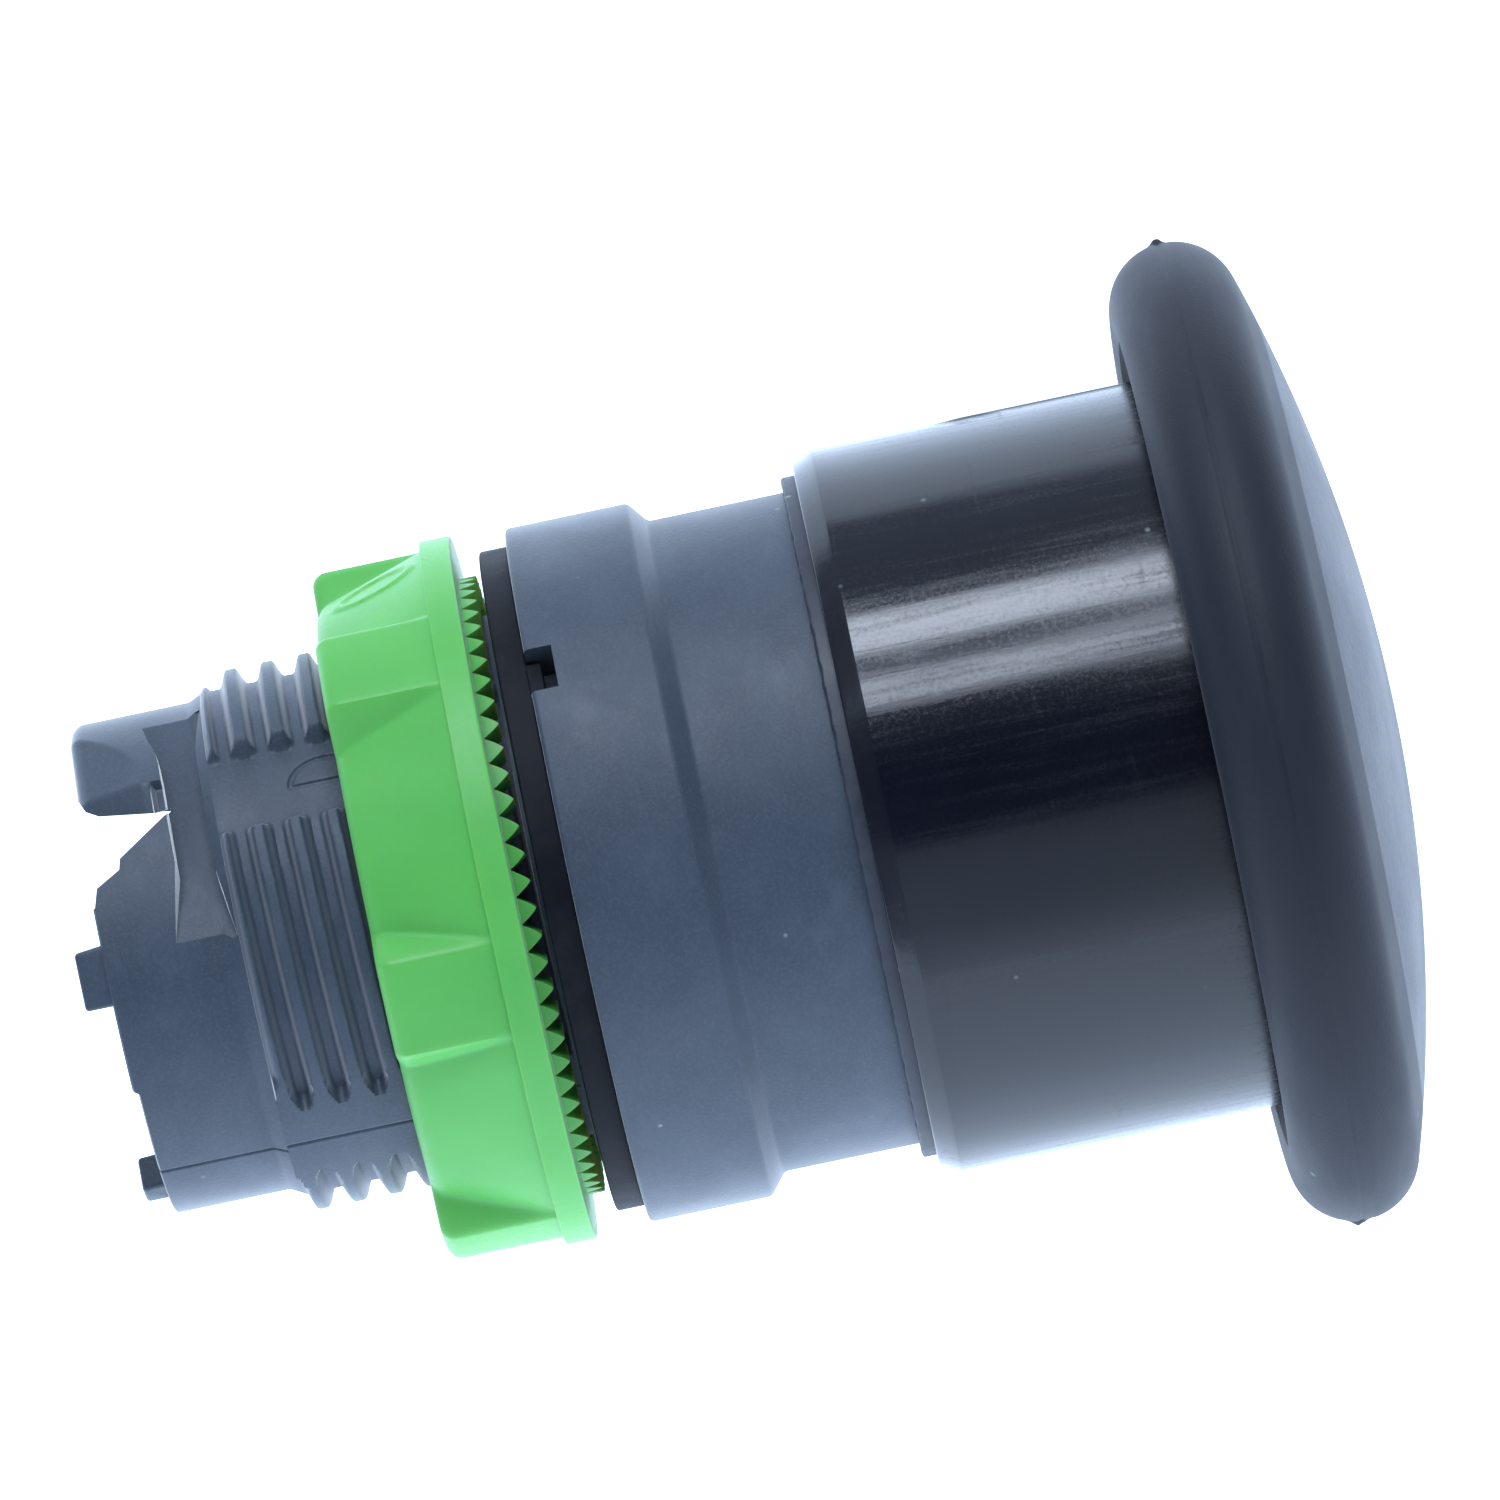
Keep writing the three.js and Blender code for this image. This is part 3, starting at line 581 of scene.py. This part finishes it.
def make_housing():
    """The body, with tabs on its rear rim, a slot right through the tube, a pocket in the tube's
    top and a notch in the flange."""
    tube_rows = np.linspace(TUBE_END, THREAD_END, 70)
    thread_rows = np.linspace(THREAD_END + 0.004, THREAD_START, 176)
    outer = [(TUBE_R, t) for t in tube_rows] + [(ROOT_R, t) for t in thread_rows]
    _, glide_back, glide_front = extent("glide_ring")
    groove_r, groove = 12.7, (glide_back - 0.05, glide_front + 0.05)
    spring_bore, seal_bore, bush_bore = 9.6, 6.4, 5.6
    floor_top, seal_back, floor_back = 2.0, 0.6, -1.0
    front = rounded([
        (BARREL_R, THREAD_START), (BARREL_R, FLANGE_BACK), (FLANGE_R, FLANGE_BACK, 0.2),
        (FLANGE_R, 6.2, 0.35), (NECK_R, 6.9, 0.3), (NECK_R, groove[0]), (groove_r, groove[0]),
        (groove_r, groove[1]), (NECK_R, groove[1]), (NECK_R, NECK_TOP, 0.3),
        (spring_bore, NECK_TOP, 0.2), (spring_bore, floor_top), (seal_bore, floor_top),
        (seal_bore, seal_back), (bush_bore, seal_back), (bush_bore, floor_back),
        (TUBE_BORE, floor_back, 0.2), (TUBE_BORE, TUBE_END, 0.12), (RIM_R, TUBE_END)])
    outline = outer + split_long(front, 1.5)
    # Closer columns along the parting lines and the half moon.
    beside = np.arange(-0.75, 0.76, 0.25)
    fine = [beside + VIEW_ANGLE + half - side for side in PARTING for half in (0, 180)]
    fine.append(np.arange(29.5, 44.5, 0.25) + VIEW_ANGLE)
    shell = turned("housing_body", outline, 480, housing_outside, extra=np.concatenate(fine))
    tabs = []
    foot = TUBE_END + TAB_ROOT
    for name, middle, low, high, end in TABS:
        sides = [(end, low), (end, high - 0.25), (foot, high), (foot, low)]
        tabs.append(prism("tab_" + name, sides, 8.3, 9.75, VIEW_ANGLE + middle, 0.16))
    slot = prism("slot", SLOT, -14, 14, VIEW_ANGLE)
    pocket = prism("pocket", POCKET, TUBE_BORE + 0.45, 14, 0)
    notch = prism("notch", oblong(0.9, 2.3, 1.03), 12.2, 16, 0)
    combine(shell, tabs, "UNION")
    combine(shell, [slot, pocket, notch], "DIFFERENCE")
    clean(shell, 38)
    return install(shell, "body", "body_plastic", "housing")


# ---------------------------------------------------------------- gasket, nut

def make_gasket():
    """The ring, and the nib that fills the flange's notch."""
    bore = BARREL_R + 0.05
    ring = turned("gasket_ring", rounded([
        (bore, 0), (GASKET_R, 0, 0.12), (GASKET_R, FLANGE_BACK, 0.1), (bore, FLANGE_BACK)]))
    nib = prism("nib", oblong(0.7, 1.75, 0.85, 0.8), 12.5, GASKET_R - 0.04, 0, 0.06)
    combine(ring, [nib], "UNION")
    return install(clean(ring), "body", "gasket_rubber", "panel_gasket")


LOBE_R = 14.3
LOBE_ANGLE = 9.0             # middle of the first of six lobes
TEETH = 72
TOOTH_ANGLE = 2.8            # valley before the first tooth
NUT_FRONT = -1.0             # front and rear of the nut's flange
NUT_STEP = -2.25
NUT_EDGE = 0.6               # rounding of the rear edge
NUT_BORE = 11.1


def nut_wall(t, angles):
    """Outer radius behind the flange: six lobes with sloping sides, a cone between them, and the
    raised outline of an oval, a plain mould mark."""
    rear_r, front_r, nut_degree = 12.62, 14.0, 0.23
    cone = np.clip(rear_r + (front_r - rear_r) * (t + 6.6) / 4.3, 12.55, front_r)
    off = np.abs((angles - LOBE_ANGLE + 30) % 60 - 30)
    side = LOBE_R - np.maximum(0, off - 7.6) / 2.9
    side = soft_min(side, np.full_like(side, LOBE_R), 0.6)
    wall = soft_max(side, cone, 0.3)
    u, v = t + 4.35, apart(angles, 39.0) * nut_degree
    oval = np.abs(np.hypot(u / 1.55, v / 0.95) - 1.0)
    wall = wall + 0.1 * smooth_step((0.2 - oval) / 0.12)
    drop = np.clip((NUT_BACK + NUT_EDGE - t) / NUT_EDGE, 0, 1)
    return np.minimum(wall, LOBE_R) - NUT_EDGE * (1 - np.sqrt(1 - drop ** 2 * 0.98))


def shape_nut(r, t, angles):
    """Gives the nut its wall and, at the front, its ring of teeth."""
    a = angles + 0 * t
    wall = nut_wall(t, a)
    r = np.where(np.abs(r - LOBE_R) < 0.01, wall, r)
    u = ((a - TOOTH_ANGLE) / (360 / TEETH)) % 1.0
    tip = 1 - np.abs(2 * u - 1) ** 1.25
    lift = (NUT_TIP - NUT_FRONT + 0.03) * tip
    crown = t > NUT_FRONT + 0.01
    return r, np.where(crown, NUT_FRONT - 0.03 + lift, t)


def make_nut():
    crown_r = 12.62            # outer edge of the ring of teeth
    wall = [(LOBE_R, t) for t in np.concatenate([
        NUT_BACK + NUT_EDGE * (1 - np.cos(np.linspace(0, math.pi / 2, 8))),
        np.linspace(NUT_BACK + 0.75, NUT_STEP, 30)])]
    flange = [(NUT_FLANGE_R, NUT_STEP, 0.14), (NUT_FLANGE_R, NUT_FRONT, 0.14), (crown_r, NUT_FRONT)]
    band = [(crown_r, NUT_TIP), (12.5, NUT_TIP), (11.6, NUT_TIP), (11.42, NUT_TIP)]
    bore = [(11.4, NUT_FRONT), (11.12, NUT_FRONT)]
    bore += [(NUT_BORE, t) for t in np.linspace(-1.3, -6.5, 8)]
    outline = rounded([(NUT_BORE, NUT_BACK, 0.25)] + wall + flange + band + bore)
    nut = turned("lobed_nut", outline, 720, shape_nut, 30, TOOTH_ANGLE)
    return install(nut, "nut", "nut_plastic", "fixing_nut")


# ---------------------------------------------------------------- head

STEM_R = 4.5
STEM_END_R = 3.2             # thin rear end, which carries the pusher
STEM_TOP = 26.3              # where the stem meets the sleeve
CLIP_FRONT = -13.0           # where the pusher's clip meets the pusher


def make_cap():
    """A rounded rim that runs on smoothly into the dome. The collar behind it takes the sleeve."""
    rim_r, rim_t, parting = 2.6, 29.3, 29.1
    collar_r, collar_back = 14.84, 27.15
    rim_start = -math.pi / 2 - 0.35
    rim_steps, dome_steps = 96, 36
    centre = CAP_R - rim_r
    rise = CAP_APEX - rim_t
    dome_r = (centre ** 2 + rise ** 2 - rim_r ** 2) / (2 * (rise - rim_r))
    dome_t = CAP_APEX - dome_r
    meet = math.atan2(centre, rim_t - dome_t)
    outline = rounded([
        (collar_r, parting), (collar_r, collar_back, 0.15), (15.6, collar_back, 0.15),
        (16.0, 27.8, 0.2), (16.6, 27.8)])[:-1]
    for k in range(rim_steps + 1):
        angle = rim_start + (math.pi / 2 - meet - rim_start) * k / rim_steps
        outline.append((centre + rim_r * math.cos(angle), rim_t + rim_r * math.sin(angle)))
    for k in range(1, dome_steps + 1):
        angle = meet * (1 - k / dome_steps)
        outline.append((dome_r * math.sin(angle), dome_t + dome_r * math.cos(angle)))
    outline += [(0.0, CAP_APEX - 2), (7.0, CAP_APEX - 2.4), (13.2, CAP_APEX - 3.6), (13.2, parting)]

    def moulding(r, t, angles):
        """A groove for the parting line round the rim, and a nub of flash at top and bottom."""
        phi = apart(angles, VIEW_ANGLE)
        on_rim = (r > CAP_R - 1) & (t > 28) & (t < 30.2)
        wobble = 0.012 * np.sin(np.radians(angles * 7)) + 0.008 * np.sin(np.radians(angles * 23))
        groove = (0.06 + wobble) * np.clip(1 - np.abs(t - parting) / 0.13, 0, 1)
        nub = 0.28 * np.exp(-((t - parting) / 0.22) ** 2 - (apart(phi, 88) / 0.7) ** 2)
        nub = nub + 0.22 * np.exp(-((t - 29.0) / 0.3) ** 2 - (apart(phi, -89) / 0.8) ** 2)
        return np.where(on_rim, np.minimum(r, CAP_R - 0.03) - groove + nub, r), t

    fine = np.concatenate([np.arange(50.0, 54.0, 0.2), np.arange(228.0, 248.0, 0.4)])
    cap = turned("mushroom_cap_shell", split_long(outline, 0.3), 256, moulding, extra=fine)
    return install(cap, "operator", "cap_plastic", "mushroom_cap")


def make_sleeve():
    """A cup that slides over the neck. The wiper sits in the recess at its rear end."""
    recess_r, recess_front = WIPER_R + 0.04, WIPER_FRONT + 0.05
    bore_r, hole_r, top_r = NECK_R + 0.14, 1.9, 13.0
    web_front = 27.9
    outline = rounded([
        (recess_r, SLEEVE_END), (14.4, SLEEVE_END, 0.12), (SLEEVE_R, SLEEVE_END + 0.85, 0.1),
        (SLEEVE_R, SLEEVE_TOP, 0.15), (top_r, SLEEVE_TOP), (top_r, web_front), (hole_r, web_front),
        (hole_r, STEM_TOP), (bore_r, STEM_TOP), (bore_r, recess_front), (recess_r, recess_front)])

    def flash(r, t, angles):
        """A raised line of flash along the mould's parting line, scarred near its rear end."""
        phi = apart(angles, VIEW_ANGLE)
        outside = r > SLEEVE_R - 0.01
        ridge = 0.08 * np.exp(-(apart(phi, 83.5) / 0.7) ** 2) * smooth_step((t - 18.4) / 1.5)
        rho = ((t - 20.4) / 1.6) ** 2 + (apart(phi, 80.6) / 2.4) ** 2
        rough = 0.75 + 0.25 * np.sin(t * 4.3 + phi * 0.9)
        scar = -0.04 * np.clip(1 - rho, 0, 1) * rough + 0.012 * np.exp(-((rho - 1.05) / 0.25) ** 2)
        return np.where(outside, r + ridge + scar, r), t

    fine = np.arange(38.0, 52.0, 0.25)
    sleeve = turned("sleeve_shell", split_long(outline, 0.25), 240, flash, extra=fine)
    return install(sleeve, "operator", "sleeve_plastic", "operator_sleeve")


def make_wiper():
    bore = NECK_R + 0.05
    outline = rounded([
        (bore, WIPER_BACK + 0.15, 0.06), (13.6, WIPER_BACK, 0.08),
        (WIPER_R, WIPER_BACK + 0.05, 0.1), (WIPER_R, WIPER_FRONT), (bore, WIPER_FRONT)])

    def rough_lip(r, t, angles):
        """A slightly uneven edge, as trimmed rubber has."""
        wave = 0.012 * np.sin(np.radians(angles * 61)) + 0.014 * np.sin(np.radians(angles * 97 + 40))
        return r, np.where(t < WIPER_BACK + 0.3, t + 0.02 + wave * (r > 13.5), t)

    wiper = turned("wiper_lip", outline, 384, rough_lip)
    return install(wiper, "operator", "seal_rubber", "wiper_seal")


def make_spring():
    """The return spring as one coil, whose first and last half turns rise only a little, drawn at the
    CAD spring's length on a mesh of its own."""
    _, back, front = extent("return_spring")
    wire, radius, turns, sides = 0.5, 7.4, 6, 12
    steps = 60 * turns
    flat = 1 / turns
    rings, faces = [], []
    for k in range(steps + 1):
        u = k / steps
        rise = min(1, max(0, (u - flat / 2) / (1 - flat)))
        t = back + wire + (front - back - 2 * wire) * (0.94 * rise + 0.06 * u)
        a = 2 * math.pi * turns * u
        for j in range(sides):
            b = 2 * math.pi * j / sides
            r = radius + wire * math.cos(b)
            rings.append(Vector((r * math.sin(a), -(t + wire * math.sin(b)), r * math.cos(a))) * MM)
    for k in range(steps):
        for j in range(sides):
            n = (j + 1) % sides
            faces.append((k * sides + j, k * sides + n, (k + 1) * sides + n, (k + 1) * sides + j))
    faces += [list(range(sides))[::-1], list(range(steps * sides, (steps + 1) * sides))]
    coil = clean(new_object("coil_spring", rings, faces))
    spring = install(coil, "body", "spring_steel", "return_spring")
    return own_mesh(spring)


def make_pusher():
    """A dished disc on the stem's thin end, with four ribs from its hub to its rim."""
    r = extent("rear_pusher")[0]
    hole, hub, inside = STEM_END_R + 0.05, 4.4, r - 0.9
    disc_front, hub_front, rim_front = -12.2, -11.3, -10.7
    outline = rounded([
        (hole, CLIP_FRONT, 0.1), (r, CLIP_FRONT, 0.2), (r, rim_front, 0.15),
        (inside, rim_front, 0.15), (inside, disc_front, 0.15), (hub, disc_front, 0.15),
        (hub, hub_front, 0.1), (hole, hub_front)])
    pusher = turned("pusher_disc", outline, 96)
    rib = oblong(-12.6, hub_front, 0.45, 0.35)
    ribs = [prism(f"rib_{k}", rib, hub - 0.2, r - 0.6, 90 * k) for k in range(4)]
    combine(pusher, ribs, "UNION")
    return install(clean(pusher), "operator", "acetal", "rear_pusher")


def make_plunger():
    """The stem, from its thin rear end: the pusher's clip groove, the shoulder that the pusher
    rests on, the retaining clip's groove, and the hole for the screw."""
    end, clip_back, shoulder = -14.0, -13.65, -11.25
    clip_r, stop_r, hole = 2.6, 3.6, 1.6
    stop_back, stop_front = -2.4, -1.65
    outline = rounded([
        (0, end), (STEM_END_R, end, 0.4), (STEM_END_R, clip_back), (clip_r, clip_back),
        (clip_r, CLIP_FRONT), (STEM_END_R, CLIP_FRONT), (STEM_END_R, shoulder),
        (STEM_R, shoulder, 0.2), (STEM_R, stop_back), (stop_r, stop_back), (stop_r, stop_front),
        (STEM_R, stop_front), (STEM_R, STEM_TOP, 0.3), (hole, STEM_TOP, 0.2), (hole, 16), (0, 15.2)])
    stem = turned("plunger_stem", outline, 96)
    return install(stem, "operator", "acetal", "plunger")


make_housing()
make_gasket()
make_nut()
make_cap()
make_sleeve()
make_wiper()
make_spring()
make_pusher()
make_plunger()

# The CAD pieces that no finer mesh replaces get their materials too.
slots = {s["node"]: s["material_slot"] for s in frame["record"]["subparts"]}
for node, obj in frame["nodes"].items():
    if not obj.hide_render:
        obj.data.materials.clear()
        obj.data.materials.append(MATERIALS[slots[node]])


# ---------------------------------------------------------------- floor, light, camera

def direction(angle):
    """Unit vector that lies `angle` degrees from the camera's direction, round the button's axis."""
    a = math.radians(VIEW_ANGLE + angle)
    return Vector((math.sin(a), 0, math.cos(a))).normalized()


def make_floor():
    """A pale floor well below the object, in metres. It glows, as a backdrop lit from behind does."""
    half, z = 6.0, -0.12
    corners = [(-half, -half, z), (half, -half, z), (half, half, z), (-half, half, z)]
    floor = new_object("floor", corners, [(0, 1, 2, 3)])
    m = Material("floor_white", Roughness=0.9, Specular_IOR_Level=0.1)
    m.finish(rgb(0.52, 0.57, 0.62), 0.9, m.bump(m.noise(0.05, 2.0), 0.01, 0.05))
    m.shader.inputs["Emission Color"].default_value = rgb(0.64, 0.78, 1.0)
    m.shader.inputs["Emission Strength"].default_value = 2.1
    floor.data.materials.append(m.material)


WORLD_TOP = 2.6              # brightness that the band colours are a share of
WORLD_STOPS = [              # degrees round the axis from the camera's direction, brightness
    (-180, 2.6), (-54, 1.9), (-39, 1.05), (-22, 0.88), (-13, 0.68), (-11, 0.1), (14, 0.05),
    (24, 0.22), (36, 0.5), (45, 2.5), (49, 1.0), (66, 0.72), (76, 0.6), (90, 0.68), (102, 0.65),
    (106, 2.2), (180, 2.6)]
WORLD_ENDS = [               # direction along the axis, where it is reached, brightness
    ((0, -1, 0), 0.85, 0.57),
    ((0, 1, 0), 0.95, 0.28)]


def world_color(brightness):
    return tuple(brightness / WORLD_TOP * c for c in (0.67, 0.8, 1.0)) + (1,)


def make_world():
    """A white tent, as bands of brightness round the object's axis that fade to one value at each
    of its ends. The darkest band is where the camera stands."""
    world = bpy.data.worlds.new("tent")
    bpy.context.scene.world = world
    world.use_nodes = True
    world.node_tree.nodes.clear()
    w = Nodes(world.node_tree)
    outward = w.add("ShaderNodeTexCoord").outputs["Generated"]

    def toward(axis):
        node = w.add("ShaderNodeVectorMath", {0: outward, 1: axis}, operation="DOT_PRODUCT")
        return node.outputs["Value"]

    angle = w.math("ARCTAN2", toward(direction(90)), toward(direction(0)))
    bands = w.add("ShaderNodeValToRGB", {0: w.ramp(angle, -math.pi, math.pi)})
    elements = bands.color_ramp.elements
    elements[0].position, elements[1].position = 0.0, 1.0
    elements[0].color = world_color(WORLD_STOPS[0][1])
    elements[1].color = world_color(WORLD_STOPS[-1][1])
    for degrees, brightness in WORLD_STOPS[1:-1]:
        elements.new((degrees + 180) / 360).color = world_color(brightness)
    color = bands.outputs[0]
    for axis, full, brightness in WORLD_ENDS:
        color = w.mix(w.ramp(toward(axis), 0.5, full), color, world_color(brightness))
    background = w.add("ShaderNodeBackground", {"Color": color, "Strength": WORLD_TOP})
    w.add("ShaderNodeOutputWorld", {"Surface": background.outputs[0]})


def turn_to(obj, place, right, up, back):
    """Puts a light or camera at a place, facing away from `back`. All in metres."""
    axes = Matrix((right, up, back)).transposed().to_4x4()
    obj.matrix_world = Matrix.Translation(place) @ axes


def make_strip(name, angle, width_degrees, brightness):
    """A long softbox parallel to the axis, which draws one bright line along the sleeve."""
    distance, length = 0.6, 0.3
    width = 2 * distance * math.tan(math.radians(width_degrees / 2))
    light = bpy.data.lights.new(name, "AREA")
    light.shape = "RECTANGLE"
    light.size, light.size_y = width, length
    light.energy = brightness * math.pi * width * length
    light.color = (0.76, 0.85, 1.0)
    strip = linked(name, light)
    out, along = direction(angle), Vector((0, 1, 0))
    turn_to(strip, out * distance, along.cross(out), along, out)
    strip.visible_camera = False


def make_camera():
    """A long lens 480 mm from the axis, which sees 60 mm across at the object. It stands beside
    one point of the axis and looks at another, and both points are lifted a little."""
    distance, eye_along, target_along, lift = 480.0, 13.43, 9.0, 3.5
    view_width, sensor = 60.18, 36.0
    axis_rise = 11.88        # degrees by which the axis rises to the right in the picture
    out, up, axis = direction(0), direction(90), Vector((0, -1, 0))
    eye = (axis * eye_along + up * lift + out * distance) * MM
    target = (axis * target_along + up * lift) * MM
    roll = math.radians(axis_rise)
    back = (eye - target).normalized()
    image_up = axis * math.sin(roll) + up * math.cos(roll)
    right = image_up.cross(back).normalized()
    camera = bpy.data.cameras.new("camera")
    camera.sensor_width = sensor
    camera.lens = sensor * (eye - target).length / MM / view_width
    camera.clip_start, camera.clip_end = 0.01, 20.0
    obj = linked("camera", camera)
    turn_to(obj, eye, right, back.cross(right), back)
    bpy.context.scene.camera = obj


make_floor()
make_world()
make_strip("strip_near", 36.6, 9.2, 9.4)
make_strip("strip_far", 56.3, 12.5, 13.5)
make_camera()
bpy.context.scene.view_settings.view_transform = "Standard"
